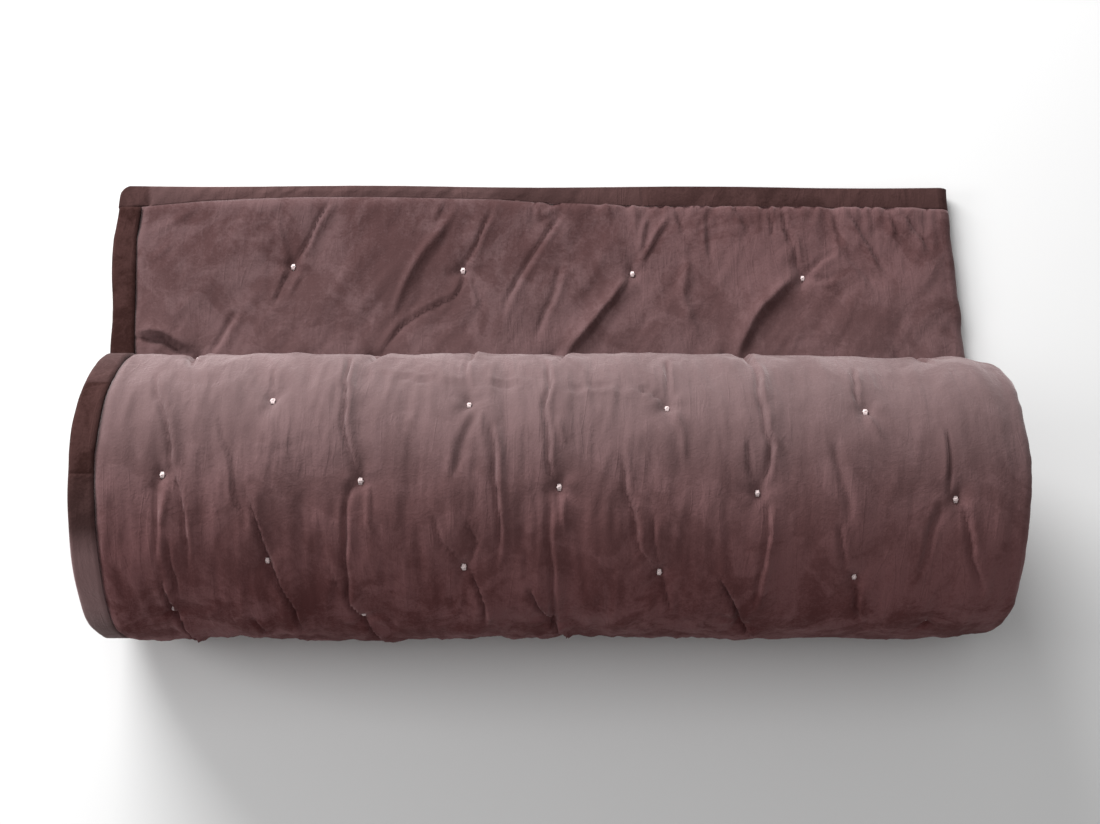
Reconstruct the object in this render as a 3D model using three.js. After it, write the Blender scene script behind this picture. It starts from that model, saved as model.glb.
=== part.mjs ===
// A tufted velvet bedspread: folded once lengthwise, then rolled up from one end.
// The last stretch, the tail, lies flat behind the roll.
//
// Millimetres, +Z up. X runs along the roll, Y from the roll towards the tail's far end.
// A place on the cloth is given by three numbers:
//   u  across the folded cloth, from its bound edges (0) to the fold (SHEET.width)
//   s  along the cloth, from the tail's far end (0), under the roll and round it
//   n  through the doubled cloth, from the side that lies on the table (0) inwards
import * as THREE from 'three';

// Driving dimensions
const SHEET = { width: 900, layer: 10.4, doubled: 22.4 };
const TAIL = { length: 367 };
const ROLL = { depthRadius: 150, heightRadius: 139.8, depthPitch: 25.2, heightPitch: 24.4, turns: 4.6 };
const ROLL_SAG = { flat: 0.8, fullness: 0.4 };
const BINDING = { width: 25, thickness: 9, seat: 0.3, coreSeat: 0.7, round: 5, cornerInset: 16 };
const BINDING_END_THICKNESS = 5;
const KNOT = { radius: 3.6, height: 2.5, seat: 0.4 };
const TUFT = { depth: 7, reach: 21, trough: 3, troughWidth: 17, troughLength: 90 };
const SEAM_DIP = { depth: 3, reach: 16 };
const SLANT_MARGIN = 40;
const MESH = {
  finePerPitch: 8,
  coarseColumns: 4,
  smallestGap: 8,
  ringsPerRow: 4,
  innerRingsPerTurn: 18,
  foldSegments: 4,
  slotSegments: 2,
};

// How far the folded cloth reaches left and right of the roll's middle, along the cloth
const EDGES = [
  { s: 0, left: -462, right: 433 },
  { s: 60, left: -469, right: 435 },
  { s: 154, left: -467, right: 438 },
  { s: 367, left: -455, right: 440 },
  { s: 467, left: -441, right: 434 },
  { s: 697, left: -441, right: 439 },
  { s: 817, left: -444, right: 444 },
  { s: 877, left: -438, right: 439 },
  { s: 930, left: -430, right: 430 },
  { s: 1070, left: -430, right: 430 },
  { s: 1225, left: -437, right: 436 },
  { s: 1600, left: -441, right: 431 },
  { s: 2100, left: -431, right: 441 },
  { s: 2500, left: -439, right: 432 },
  { s: 3000, left: -434, right: 437 },
];

// Rows of tufts: where each row crosses the middle, how much it slants across the cloth,
// its first tuft and pitch across, and on which side of the doubled cloth its knots show
const ROWS = [
  { s: 99, slant: 0.024, first: 193, pitch: 181, step: 8, shows: 'top' },
  { s: 202, slant: 0.012, first: 92, pitch: 184, step: 4, shows: 'top' },
  { s: 305, slant: 0, first: 184, pitch: 184, step: 8, shows: 'none' },
  { s: 408, slant: 0, first: 92, pitch: 184, step: 4, shows: 'none' },
  { s: 517, slant: -0.02, first: 184, pitch: 184, step: 8, shows: 'under' },
  { s: 628, slant: -0.04, first: 87, pitch: 183, step: 4, shows: 'under' },
  { s: 701, slant: -0.033, first: 183, pitch: 185, step: 8, shows: 'under' },
  { s: 785, slant: -0.032, first: 88, pitch: 185, step: 4, shows: 'under' },
  { s: 871, slant: -0.025, first: 185, pitch: 187.5, step: 8, shows: 'under' },
  { s: 980, slant: -0.01, first: 92, pitch: 184, step: 4, shows: 'under' },
  { s: 1062, slant: -0.01, first: 184, pitch: 184, step: 8, shows: 'under' },
  { s: 1144, slant: 0, first: 92, pitch: 184, step: 4, shows: 'under' },
];

// Main folds on the tail's top, as soft ridges from one place to another
const TAIL_FOLDS = [
  { u: 555, s: 105, toU: 504, toS: 196, height: 6, width: 19 },
  { u: 735, s: 106, toU: 670, toS: 195, height: 5, width: 19 },
  { u: 737, s: 98, toU: 728, toS: 45, height: 4, width: 17 },
  { u: 378, s: 98, toU: 309, toS: 188, height: 5, width: 19 },
  { u: 194, s: 92, toU: 230, toS: 34, height: 4, width: 17 },
  { u: 190, s: 100, toU: 102, toS: 188, height: 5, width: 19 },
  { u: 359, s: 39, toU: 308, toS: 120, height: 6, width: 19 },
  { u: 560, s: 90, toU: 590, toS: 30, height: 3, width: 18 },
  { u: 34, s: 168, toU: 90, toS: 194, height: 5, width: 18 },
];

// Main folds on the roll's outer side
const ROLL_FOLDS = [
  { u: 255, s: 905, toU: 262, toS: 800, height: 3, width: 16 },
  { u: 392, s: 850, toU: 392, toS: 745, height: 3.5, width: 18 },
  { u: 285, s: 780, toU: 282, toS: 690, height: 3, width: 16 },
  { u: 515, s: 830, toU: 540, toS: 720, height: 3, width: 17 },
  { u: 720, s: 790, toU: 728, toS: 710, height: 3, width: 16 },
  { u: 150, s: 780, toU: 170, toS: 670, height: 3, width: 17 },
];

// How an end's binding rounds off: distance in from its cut edge, and share of its full section
const END_ROUNDING = [
  { s: 0, share: 0 },
  { s: 4.5, share: 0.3 },
  { s: 25, share: 1 },
];

const VELVET = { color: 0x735a5c, roughness: 0.85, metalness: 0 };
const DARK_VELVET = { color: 0x4e322f, roughness: 0.85, metalness: 0 };
const THREAD = { color: 0xf0dcdc, roughness: 0.8, metalness: 0 };

const FOLD_RADIUS = SHEET.doubled / 2;
const FOLD_START = SHEET.width - FOLD_RADIUS;
const SLOT_RADIUS = FOLD_RADIUS - SHEET.layer;
const UPPER_SLOT = SHEET.doubled - SHEET.layer;
const PANEL_EDGE = BINDING.width + BINDING.seat;
const FULL_CIRCLE = 2 * Math.PI;

const lerp = THREE.MathUtils.lerp;
const bell = (distance, reach) => Math.exp(-((distance / reach) ** 2));

// One named column of a table, read between its rows along s
function readTable(table, column, s) {
  const last = table.length - 1;
  if (s <= table[0].s) return table[0][column];
  if (s >= table[last].s) return table[last][column];
  const next = table.findIndex((row) => row.s > s);
  const [low, high] = [table[next - 1], table[next]];
  return lerp(low[column], high[column], (s - low.s) / (high.s - low.s));
}

// The roll's outline from its end, at an angle that starts on the table and climbs the front
function rollPoint(angle) {
  const turn = angle / FULL_CIRCLE;
  const depth = ROLL.depthRadius - ROLL.depthPitch * turn;
  const height = ROLL.heightRadius - ROLL.heightPitch * turn;
  const fullness = ROLL_SAG.fullness * (1 - turn / ROLL.turns) * Math.max(0, Math.cos(angle)) ** 2;
  const y = -depth * Math.sin(angle) * (1 + fullness);
  const z = ROLL.heightRadius - height * Math.cos(angle) - ROLL_SAG.flat;
  return new THREE.Vector2(y, Math.max(0, z));
}

// The doubled cloth's route seen from the end: flat along the table, then round the roll
function traceRoute() {
  const points = [];
  const flatSteps = 40;
  const stepAngle = FULL_CIRCLE / 240;
  for (let i = 0; i < flatSteps; i += 1) {
    points.push(new THREE.Vector2(TAIL.length * (1 - i / flatSteps), 0));
  }
  for (let angle = 0; angle <= ROLL.turns * FULL_CIRCLE + stepAngle / 2; angle += stepAngle) {
    points.push(rollPoint(angle));
  }
  const lengths = [0];
  for (let i = 1; i < points.length; i += 1) {
    lengths.push(lengths[i - 1] + points[i].distanceTo(points[i - 1]));
  }
  return { points, lengths, flatSteps, stepAngle };
}

const ROUTE = traceRoute();
const ROUTE_END = ROUTE.lengths[ROUTE.lengths.length - 1];

// Where a turn angle of the roll comes along the cloth
function lengthAtAngle(angle) {
  const step = angle / ROUTE.stepAngle + ROUTE.flatSteps;
  const low = Math.min(Math.floor(step), ROUTE.lengths.length - 2);
  return lerp(ROUTE.lengths[low], ROUTE.lengths[low + 1], step - low);
}

// The route's point and its inward direction at a length s
function routeAt(s) {
  const { points, lengths } = ROUTE;
  let low = 0;
  let high = lengths.length - 1;
  while (high - low > 1) {
    const middle = (low + high) >> 1;
    if (lengths[middle] <= s) low = middle;
    else high = middle;
  }
  const share = (s - lengths[low]) / (lengths[high] - lengths[low]);
  const point = points[low].clone().lerp(points[high], share);
  const along = routeDirection(low).lerp(routeDirection(high), share).normalize();
  return { point, inward: new THREE.Vector2(along.y, -along.x) };
}

function routeDirection(index) {
  const before = ROUTE.points[Math.max(0, index - 1)];
  const after = ROUTE.points[Math.min(ROUTE.points.length - 1, index + 1)];
  return after.clone().sub(before).normalize();
}

// A place on the cloth as a point in space
function place(u, s, n) {
  const left = readTable(EDGES, 'left', s);
  const right = readTable(EDGES, 'right', s);
  const { point, inward } = routeAt(s);
  const x = lerp(left, right, u / SHEET.width);
  return new THREE.Vector3(x, point.x + n * inward.x, point.y + n * inward.y);
}

// How far a row's slant moves a place along the cloth: it dies out at the panel's edges
function slantedLength(s, u) {
  const fromEdge = Math.min(u - PANEL_EDGE, FOLD_START - u);
  const share = THREE.MathUtils.clamp(fromEdge / SLANT_MARGIN, 0, 1);
  return s + share * readTable(ROWS, 'slant', s) * (u - SHEET.width / 2);
}

function tuftColumns(row) {
  const columns = [];
  for (let u = row.first; u < FOLD_START - TUFT.reach; u += row.pitch) columns.push(u);
  return columns;
}

const TUFTS = ROWS.flatMap((row) => tuftColumns(row).map((u) => ({ u, s: row.s, shows: row.shows })));

// A soft ridge along a straight fold, fading at both ends
function foldHeight(folds, u, s) {
  let height = 0;
  for (const fold of folds) {
    const run = new THREE.Vector2(fold.toU - fold.u, fold.toS - fold.s);
    const offset = new THREE.Vector2(u - fold.u, s - fold.s);
    const along = THREE.MathUtils.clamp(offset.dot(run) / run.lengthSq(), 0, 1);
    const distance = offset.sub(run.multiplyScalar(along)).length();
    height += fold.height * bell(distance, fold.width);
  }
  return height;
}

// How far the face sinks at the tufts, between them along the cloth, and at the panel's seam,
// less what the main folds raise it: no fold raises a tuft
function sinking(side, folds, u, s) {
  let nearTuft = 0;
  let trough = SEAM_DIP.depth * bell(u - PANEL_EDGE, SEAM_DIP.reach);
  for (const tuft of TUFTS) {
    if (tuft.shows !== side) continue;
    const across = u - tuft.u;
    const along = s - tuft.s;
    nearTuft = Math.max(nearTuft, bell(Math.hypot(across, along), TUFT.reach));
    const fade = Math.max(0, 1 - Math.abs(along) / TUFT.troughLength);
    trough = Math.max(trough, TUFT.trough * bell(across, TUFT.troughWidth) * fade);
  }
  return lerp(trough - foldHeight(folds, u, s), TUFT.depth, nearTuft);
}

// The two faces that show: the roll's outer side and the tail's top
function outerFace(u, s) {
  return place(u, slantedLength(s, u), sinking('under', ROLL_FOLDS, u, s));
}

function topFace(u, s) {
  return place(u, slantedLength(s, u), SHEET.doubled - sinking('top', TAIL_FOLDS, u, s));
}

// Columns across the cloth: fine ones follow the tufts, coarse ones are evenly spread
function fineColumns(s) {
  const spacing = readTable(ROWS, 'pitch', s) / MESH.finePerPitch;
  const origin = readTable(ROWS, 'first', s) - readTable(ROWS, 'step', s) * spacing;
  const columns = [PANEL_EDGE];
  for (let step = 2; origin + step * spacing < FOLD_START - MESH.smallestGap; step += 1) {
    columns.push(origin + step * spacing);
  }
  columns.push(FOLD_START);
  return columns;
}

function coarseColumns(from) {
  const columns = [];
  for (let i = 0; i <= MESH.coarseColumns; i += 1) {
    columns.push(lerp(from, FOLD_START, i / MESH.coarseColumns));
  }
  return columns;
}

// Half a turn round the cloth's fold, from side n = middle - radius to n = middle + radius
function foldArc(radius, segments, s) {
  const arc = [];
  for (let i = 0; i <= segments; i += 1) {
    const angle = (Math.PI * i) / segments;
    arc.push(place(FOLD_START + radius * Math.sin(angle), s, FOLD_RADIUS - radius * Math.cos(angle)));
  }
  return arc;
}

// A closed skin is built from rings. Each ring is a list of strips that follow one another:
// a strip's last point is the next strip's first, so it is left out.
class Skin {
  constructor() {
    this.positions = [];
    this.faces = [];
  }

  addPoint(point) {
    this.positions.push(point.x, point.y, point.z);
    return this.positions.length / 3 - 1;
  }

  addRing(strips) {
    const rows = strips.map((strip) => strip.slice(0, -1).map((point) => this.addPoint(point)));
    return rows.map((row, i) => [...row, rows[(i + 1) % rows.length][0]]);
  }

  // Triangles between two strips, which may have unlike numbers of points
  zip(near, far) {
    const nearEnd = near.length - 1;
    const farEnd = far.length - 1;
    let i = 0;
    let j = 0;
    while (i < nearEnd || j < farEnd) {
      const nearNext = j === farEnd || (i < nearEnd && (i + 1) / nearEnd <= (j + 1) / farEnd);
      if (nearNext) {
        this.faces.push(near[i], near[i + 1], far[j]);
        i += 1;
      } else {
        this.faces.push(near[i], far[j + 1], far[j]);
        j += 1;
      }
    }
  }

  joinRings(rings) {
    for (let i = 1; i < rings.length; i += 1) {
      rings[i - 1].forEach((strip, k) => this.zip(strip, rings[i][k]));
    }
  }

  geometry() {
    const geometry = new THREE.BufferGeometry();
    geometry.setAttribute('position', new THREE.Float32BufferAttribute(this.positions, 3));
    geometry.setIndex(this.faces);
    geometry.computeVertexNormals();
    return geometry;
  }
}

const turned = (strip) => strip.slice().reverse();

// The doubled section's end, closed between its outer strips and its slot's strips
function capDoubled(skin, ring, isStart) {
  for (const [outer, slot] of [[0, 6], [1, 5], [2, 4]]) {
    if (isStart) skin.zip(turned(ring[outer]), ring[slot]);
    else skin.zip(ring[outer], turned(ring[slot]));
  }
}

// One ring round the doubled cloth: out along the underside, round the fold, back along the top,
// then in and out again along the slot between the layers
function doubledRing(s, edge, outerStrip, topStrip) {
  const columns = coarseColumns(edge);
  const slotTop = columns.map((u) => place(u, s, UPPER_SLOT));
  const slotUnder = columns.map((u) => place(u, s, SHEET.layer));
  const outerArc = foldArc(FOLD_RADIUS, MESH.foldSegments, s);
  outerArc[0] = outerStrip[outerStrip.length - 1];
  outerArc[outerArc.length - 1] = topStrip[topStrip.length - 1];
  return [
    outerStrip,
    outerArc,
    turned(topStrip),
    [topStrip[0], slotTop[0]],
    slotTop,
    turned(foldArc(SLOT_RADIUS, MESH.slotSegments, s)),
    turned(slotUnder),
    [slotUnder[0], outerStrip[0]],
  ];
}

const OUTER_TURN_END = lengthAtAngle(FULL_CIRCLE);

// Lengths along the cloth at which the quilt's rings stand: some between each two rows of tufts,
// then at even angles on the inner turns, so that each turn's flats lie along the next one's
function quiltLengths() {
  const end = ROUTE_END - BINDING.width - BINDING.coreSeat;
  const stops = [PANEL_EDGE, ...ROWS.map((row) => row.s), OUTER_TURN_END];
  const lengths = [PANEL_EDGE];
  for (let i = 1; i < stops.length; i += 1) {
    for (let k = 1; k <= MESH.ringsPerRow; k += 1) {
      lengths.push(lerp(stops[i - 1], stops[i], k / MESH.ringsPerRow));
    }
  }
  const innerStep = FULL_CIRCLE / MESH.innerRingsPerTurn;
  let angle = FULL_CIRCLE + innerStep;
  while (lengthAtAngle(angle) < end - MESH.smallestGap) {
    lengths.push(lengthAtAngle(angle));
    angle += innerStep;
  }
  return [...lengths, end];
}

const QUILT_LENGTHS = quiltLengths();
const LAST_TOP_ROW = ROWS[2].s;
const FIRST_OUTER_ROW = ROWS[3].s;

function quiltRing(s, isEnd) {
  const coarse = coarseColumns(PANEL_EDGE);
  const outerShows = s > FIRST_OUTER_ROW && s < OUTER_TURN_END;
  const topShows = s < LAST_TOP_ROW && !isEnd;
  const outerStrip = outerShows
    ? fineColumns(s).map((u) => outerFace(u, s))
    : coarse.map((u) => place(u, s, 0));
  const topStrip = topShows
    ? fineColumns(s).map((u) => topFace(u, s))
    : coarse.map((u) => place(u, s, SHEET.doubled));
  return doubledRing(s, PANEL_EDGE, outerStrip, topStrip);
}

function quiltGeometry() {
  const skin = new Skin();
  const last = QUILT_LENGTHS.length - 1;
  const rings = QUILT_LENGTHS.map((s, i) => skin.addRing(quiltRing(s, i === 0 || i === last)));
  skin.joinRings(rings);
  capDoubled(skin, rings[0], true);
  capDoubled(skin, rings[last], false);
  return skin.geometry();
}

// A binding strip along one layer's long edge: a flat band with a rounded outer edge
function sideBindingRing(s, low) {
  const high = low + BINDING.thickness;
  const corners = [
    [BINDING.width, low],
    [BINDING.width, high],
    [BINDING.round, high],
    [0, lerp(low, high, 0.7)],
    [0, lerp(low, high, 0.3)],
    [BINDING.round, low],
  ].map(([u, n]) => place(u, s, n));
  return [[...corners, corners[0]]];
}

function sideBindingGeometry(low) {
  const skin = new Skin();
  const rings = QUILT_LENGTHS.map((s) => skin.addRing(sideBindingRing(s, low)));
  skin.joinRings(rings);
  const [first, last] = [rings[0][0], rings[rings.length - 1][0]];
  for (let i = 1; i < first.length - 2; i += 1) {
    skin.faces.push(first[0], first[i + 1], first[i]);
    skin.faces.push(last[0], last[i], last[i + 1]);
  }
  return skin.geometry();
}

// A binding strip across an end, over both layers and round the fold, with rounded corners
function endBindingRing(s, share) {
  const inset = BINDING.cornerInset * (1 - Math.sqrt(1 - (1 - share) ** 2));
  const thin = (SHEET.layer - lerp(BINDING_END_THICKNESS, BINDING.thickness, share)) / 2;
  const columns = coarseColumns(inset);
  const outerStrip = columns.map((u) => place(u, s, share < 1 ? thin : 0));
  const topStrip = columns.map((u) => place(u, s, SHEET.doubled - thin));
  return doubledRing(s, inset, outerStrip, topStrip);
}

function endBindingGeometry(cutEdge, direction) {
  const skin = new Skin();
  const rings = END_ROUNDING.map((row) => {
    return skin.addRing(endBindingRing(cutEdge + direction * row.s, row.share));
  });
  if (direction < 0) rings.reverse();
  skin.joinRings(rings);
  capDoubled(skin, rings[0], true);
  capDoubled(skin, rings[rings.length - 1], false);
  return skin.geometry();
}

// One knot of thread, sitting in its tuft's dimple
function knotMesh(tuft, name) {
  const face = tuft.shows === 'top' ? topFace : outerFace;
  const base = face(tuft.u, tuft.s);
  const { inward } = routeAt(slantedLength(tuft.s, tuft.u));
  const outward = new THREE.Vector3(0, inward.x, inward.y);
  if (tuft.shows !== 'top') outward.negate();
  const geometry = new THREE.IcosahedronGeometry(1, 0);
  geometry.scale(KNOT.radius, KNOT.radius, KNOT.height);
  const knot = new THREE.Mesh(geometry, new THREE.MeshStandardMaterial(THREAD));
  knot.name = name;
  knot.position.copy(base).addScaledVector(outward, KNOT.height + KNOT.seat);
  knot.quaternion.setFromUnitVectors(new THREE.Vector3(0, 0, 1), outward);
  return knot;
}

function clothMesh(name, geometry, look) {
  const mesh = new THREE.Mesh(geometry, new THREE.MeshStandardMaterial(look));
  mesh.name = name;
  return mesh;
}

const bedspread = new THREE.Group();
bedspread.add(clothMesh('quilt', quiltGeometry(), VELVET));
bedspread.add(clothMesh('binding_side_under', sideBindingGeometry(0), DARK_VELVET));
bedspread.add(clothMesh('binding_side_over', sideBindingGeometry(UPPER_SLOT), DARK_VELVET));
bedspread.add(clothMesh('binding_far_end', endBindingGeometry(0, 1), DARK_VELVET));
bedspread.add(clothMesh('binding_core_end', endBindingGeometry(ROUTE_END, -1), DARK_VELVET));
TUFTS.filter((tuft) => tuft.shows !== 'none').forEach((tuft, i) => {
  bedspread.add(knotMesh(tuft, `knot_${String(i + 1).padStart(2, '0')}`));
});

// The origin is the middle of the underside of the whole thing
const box = new THREE.Box3().setFromObject(bedspread, true);
const centre = box.getCenter(new THREE.Vector3());
bedspread.position.set(-centre.x, -centre.y, -box.min.z);

const model = new THREE.Group();
model.add(bedspread);
export default model;
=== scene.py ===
"""A tufted velvet bedspread, folded once lengthwise and rolled up, with its tail lying flat.

The cloth is laid out in millimetres and turned into metres where its meshes are made.
A place on the cloth has three numbers, as in the CAD part:
  u  across the folded cloth, from its bound edges (0) to the fold (WIDTH)
  s  along the cloth, from the tail's far end (0), under the roll and round it
  n  through the doubled cloth, from the side that lies on the table (0) inwards
"""
import math

import bpy
import numpy as np
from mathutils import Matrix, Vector, noise


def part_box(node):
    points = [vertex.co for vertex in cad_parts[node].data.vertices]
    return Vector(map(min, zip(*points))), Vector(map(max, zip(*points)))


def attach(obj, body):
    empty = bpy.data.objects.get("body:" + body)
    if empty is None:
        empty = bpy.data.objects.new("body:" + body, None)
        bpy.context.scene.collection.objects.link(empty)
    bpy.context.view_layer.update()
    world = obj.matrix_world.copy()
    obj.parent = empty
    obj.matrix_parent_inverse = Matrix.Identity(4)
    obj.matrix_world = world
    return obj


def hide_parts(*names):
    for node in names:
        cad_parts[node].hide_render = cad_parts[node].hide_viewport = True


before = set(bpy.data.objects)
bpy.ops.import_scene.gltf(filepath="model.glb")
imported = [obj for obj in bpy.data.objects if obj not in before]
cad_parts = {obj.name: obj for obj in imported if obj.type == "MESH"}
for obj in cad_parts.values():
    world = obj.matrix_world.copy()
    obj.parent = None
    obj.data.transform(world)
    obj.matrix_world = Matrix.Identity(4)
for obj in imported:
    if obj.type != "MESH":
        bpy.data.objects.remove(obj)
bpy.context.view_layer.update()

MM = 0.001
FULL_TURN = 2 * math.pi

# The cloth's sizes, as in the CAD part
WIDTH = 900.0
LAYER = 10.4
DOUBLED = 22.4
TAIL_LENGTH = 367.0
ROLL_DEPTH_RADIUS, ROLL_HEIGHT_RADIUS = 150.0, 139.8
ROLL_DEPTH_PITCH, ROLL_HEIGHT_PITCH = 25.2, 24.4
ROLL_TURNS = 4.6
ROLL_FLAT, ROLL_FULLNESS = 0.8, 0.4
BINDING_WIDTH = 25.0
BINDING_THICKNESS = 9.0
SEAT, CORE_SEAT = 0.3, 0.7
PANEL_EDGE = BINDING_WIDTH + SEAT
FOLD_RADIUS = DOUBLED / 2
FOLD_START = WIDTH - FOLD_RADIUS
UPPER_SLOT = DOUBLED - LAYER
SLOT_RADIUS = FOLD_RADIUS - LAYER

# How far the folded cloth reaches left and right of the roll's middle: s, left, right
EDGES = np.array([
    (0, -466, 433), (60, -472, 434), (154, -469, 440), (220, -466, 444), (367, -457, 442),
    (467, -441, 435), (697, -444, 445), (817, -448, 449), (877, -445, 447), (930, -438, 440),
    (1070, -433, 434), (1225, -437, 436), (1600, -441, 431), (2100, -431, 441), (2500, -439, 432),
    (3000, -434, 437),
], float)

# Rows of tufts: s at the middle, slant across, first tuft, pitch, and the side that shows
TUFT_ROWS = [
    dict(s=99, slant=0.024, first=193, pitch=181, side="top"),
    dict(s=202, slant=0.012, first=92, pitch=184, side="top"),
    dict(s=517, slant=-0.02, first=184, pitch=184, side="outer"),
    dict(s=628, slant=-0.04, first=87, pitch=183, side="outer"),
    dict(s=701, slant=-0.033, first=183, pitch=185, side="outer"),
    dict(s=785, slant=-0.032, first=88, pitch=185, side="outer"),
    dict(s=871, slant=-0.025, first=185, pitch=187.5, side="outer"),
    dict(s=980, slant=-0.01, first=92, pitch=184, side="outer"),
    dict(s=1062, slant=-0.01, first=184, pitch=184, side="outer"),
    dict(s=1144, slant=0, first=92, pitch=184, side="outer"),
]
FOLD_MARGIN = 21.0

# The far binding's seam wanders: x from the roll's middle, s
FAR_SEAM = np.array([
    (-470, 25), (-438, 24), (-377, 18), (-322, 15), (-267, 13), (-183, 13), (-56, 16), (11, 22),
    (109, 24), (217, 26), (440, 27),
], float)
SEAM_WARP_END = 95.0

# Where along s the relief lies, on the tail's open stretch and the roll's outer turn, and fades
TAIL_RELIEF_END, ROLL_RELIEF_START = 330.0, 400.0
TAIL_FADE = 250, 320
ROLL_FADE_IN, ROLL_FADE_OUT = (400, 470), (1150, 1215)

# How fine the route and the meshes are: steps in millimetres, and counts
ROUTE_STEPS_PER_TURN, ROUTE_STEPS_ON_TAIL = 720, 120
COLUMN_STEP = 2.6
TAIL_ROW_STEP, UNDER_ROW_STEP, ROLL_ROW_STEP = 4.0, 16.0, 5.0
ROLL_ROWS_START = 410.0
HIDDEN_ROWS_PER_TURN = 24
HIDDEN_ROWS_MARGIN = 6.0
HIDDEN_COLUMNS = 7


def crease(path, depth, width, swell=0, side=1):
    """A soft trough along a line of (x, s) places, with a swell on one side.

    x is from the roll's middle. A trough of negative depth is a ridge. side is +1 where the swell
    lies on the path's left as it runs, and -1 on its right.
    """
    return dict(path=np.array(path, float), depth=depth, width=width, swell=swell, side=side)


ROLL_CREASES = [
    crease([(-376, 907), (-369, 877), (-357, 850), (-353, 831), (-352, 811), (-349, 796)],
           3.2, 4.5, swell=2.6),
    crease([(-349, 798), (-342, 781), (-337, 738), (-337, 712)], 2.4, 4.5, swell=2.6),
    crease([(-356, 790), (-355, 775), (-357, 752)], -2.2, 3.5),
    crease([(-365, 785), (-362, 759), (-363, 715)], 2.2, 5, swell=1.2),
    crease([(-353, 738), (-352, 715), (-348, 690), (-348, 666)], 2, 5, swell=1.6),
    crease([(-362, 690), (-358, 668), (-355, 640), (-350, 592), (-343, 545)], 4.2, 4.5, swell=3),
    crease([(-309, 852), (-305, 829), (-296, 811), (-293, 793), (-289, 772), (-283, 751)],
           1.6, 4.5, swell=1.8, side=-1),
    crease([(-281, 782), (-268, 745), (-262, 715), (-258, 698),
            (-250, 680), (-243, 655), (-241, 625), (-236, 600)],
           3.6, 4.5, swell=2.8),
    crease([(-273, 815), (-250, 822), (-214, 838)], 0.9, 3, swell=0.5),
    crease([(-192, 945), (-193, 907), (-190, 848), (-188, 824), (-181, 804), (-177, 793)], 4, 4.5, swell=3),
    crease([(-170, 785), (-168, 763), (-166, 738)], -2.6, 3.8),
    crease([(-185, 785), (-189, 763), (-190, 715), (-190, 690),
            (-189, 660), (-177, 633), (-168, 590), (-165, 550)],
           3.6, 4.8, swell=2.4),
    crease([(-206, 705), (-200, 680)], 1.6, 4, swell=1),
    crease([(-263, 925), (-259, 884)], 2.2, 4, swell=1),
    crease([(-281, 640), (-270, 592)], 2.2, 5, swell=1.4),
    crease([(-165, 912), (-130, 903), (-100, 900), (-81, 898), (-76, 889)], 1.5, 4, swell=1),
    crease([(-63, 894), (-42, 897), (-12, 894)], 1.5, 3.5, swell=0.8),
    crease([(15, 887), (49, 891), (84, 886), (102, 881), (109, 870)], 2.8, 4, swell=2, side=-1),
    crease([(-80, 934), (-76, 892)], 2.2, 4, swell=1.2),
    crease([(-66, 862), (-63, 820)], -2.4, 5),
    crease([(-55, 845), (-51, 808), (-48, 774), (-47, 750), (-50, 715)], 2.8, 5, swell=3),
    crease([(-71, 861), (-84, 827), (-91, 790)], 2, 9, swell=0.8, side=-1),
    crease([(-111, 763), (-100, 732), (-89, 722), (-82, 707)], 1.6, 5, swell=1),
    crease([(-77, 758), (-67, 731), (-74, 707)], 2.2, 4, swell=1.8),
    crease([(-76, 703), (-67, 681), (-62, 658), (-60, 632)], 3.2, 4.5, swell=2.2),
    crease([(-3, 940), (0, 891), (-6, 869), (-3, 850), (-2, 813), (2, 795), (7, 784)], 3.2, 4.5, swell=2.8),
    crease([(7, 852), (14, 822)], -2, 4.5),
    crease([(12, 777), (15, 742)], -2.6, 4),
    crease([(-2, 779), (1, 750), (2, 716), (5, 658), (6, 590)], 2.4, 6, swell=1.6),
    crease([(-20, 684), (-10, 658), (1, 632), (12, 590), (18, 545)], 3.8, 4.5, swell=2.8),
    crease([(66, 818), (71, 786), (77, 759), (82, 726), (98, 702)], 2.4, 5, swell=2.8),
    crease([(95, 756), (96, 729), (102, 704)], 1.8, 4, swell=2),
    crease([(107, 694), (113, 652)], 2.2, 4.5, swell=1.2),
    crease([(112, 935), (111, 880)], 2.8, 4, swell=1.4),
    crease([(117, 862), (126, 832), (126, 808)], -2, 7),
    crease([(199, 935), (199, 858), (200, 839), (205, 828), (203, 801), (197, 786)], 3.2, 4.5, swell=2.8),
    crease([(184, 828), (185, 799), (192, 785)], 1.8, 5, swell=1, side=-1),
    crease([(194, 774), (203, 763), (203, 741), (199, 716), (196, 690), (194, 655)], 1.6, 5, swell=2.8),
    crease([(158, 696), (173, 661), (185, 620), (195, 578)], 3.8, 4.5, swell=2.8),
    crease([(153, 646), (177, 629)], 1.4, 4, swell=0.8),
    crease([(291, 922), (289, 879), (291, 867)], 2.8, 4, swell=2.2),
    crease([(293, 864), (301, 848), (310, 832)], -2.4, 4.5),
    crease([(267, 830), (271, 792), (280, 755)], 2.2, 9, swell=1),
    crease([(268, 748), (277, 706)], 2.2, 5, swell=1),
    crease([(285, 686), (295, 630)], 2.4, 5, swell=1.4),
    crease([(369, 840), (370, 811), (369, 782)], 2.8, 4, swell=1.6, side=-1),
    crease([(-350, 1015), (-347, 975), (-343, 925)], 3.6, 8, swell=1.2),
    crease([(-163, 1010), (-166, 970), (-171, 935)], 2.6, 7, swell=1.2),
    crease([(-76, 1000), (-75, 965), (-79, 932)], 2, 6, swell=1),
    crease([(16, 1015), (14, 972), (10, 925)], 1.8, 5, swell=1.4),
    crease([(193, 1010), (192, 970), (197, 930)], 3.2, 7, swell=1.4),
    crease([(364, 1010), (366, 968), (371, 935)], 0.8, 5, swell=1),
    crease([(378, 774), (386, 756), (391, 717), (407, 680)], 2.6, 6, swell=2),
    crease([(359, 768), (353, 745), (345, 700)], 2.2, 8, swell=1, side=-1),
]
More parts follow.
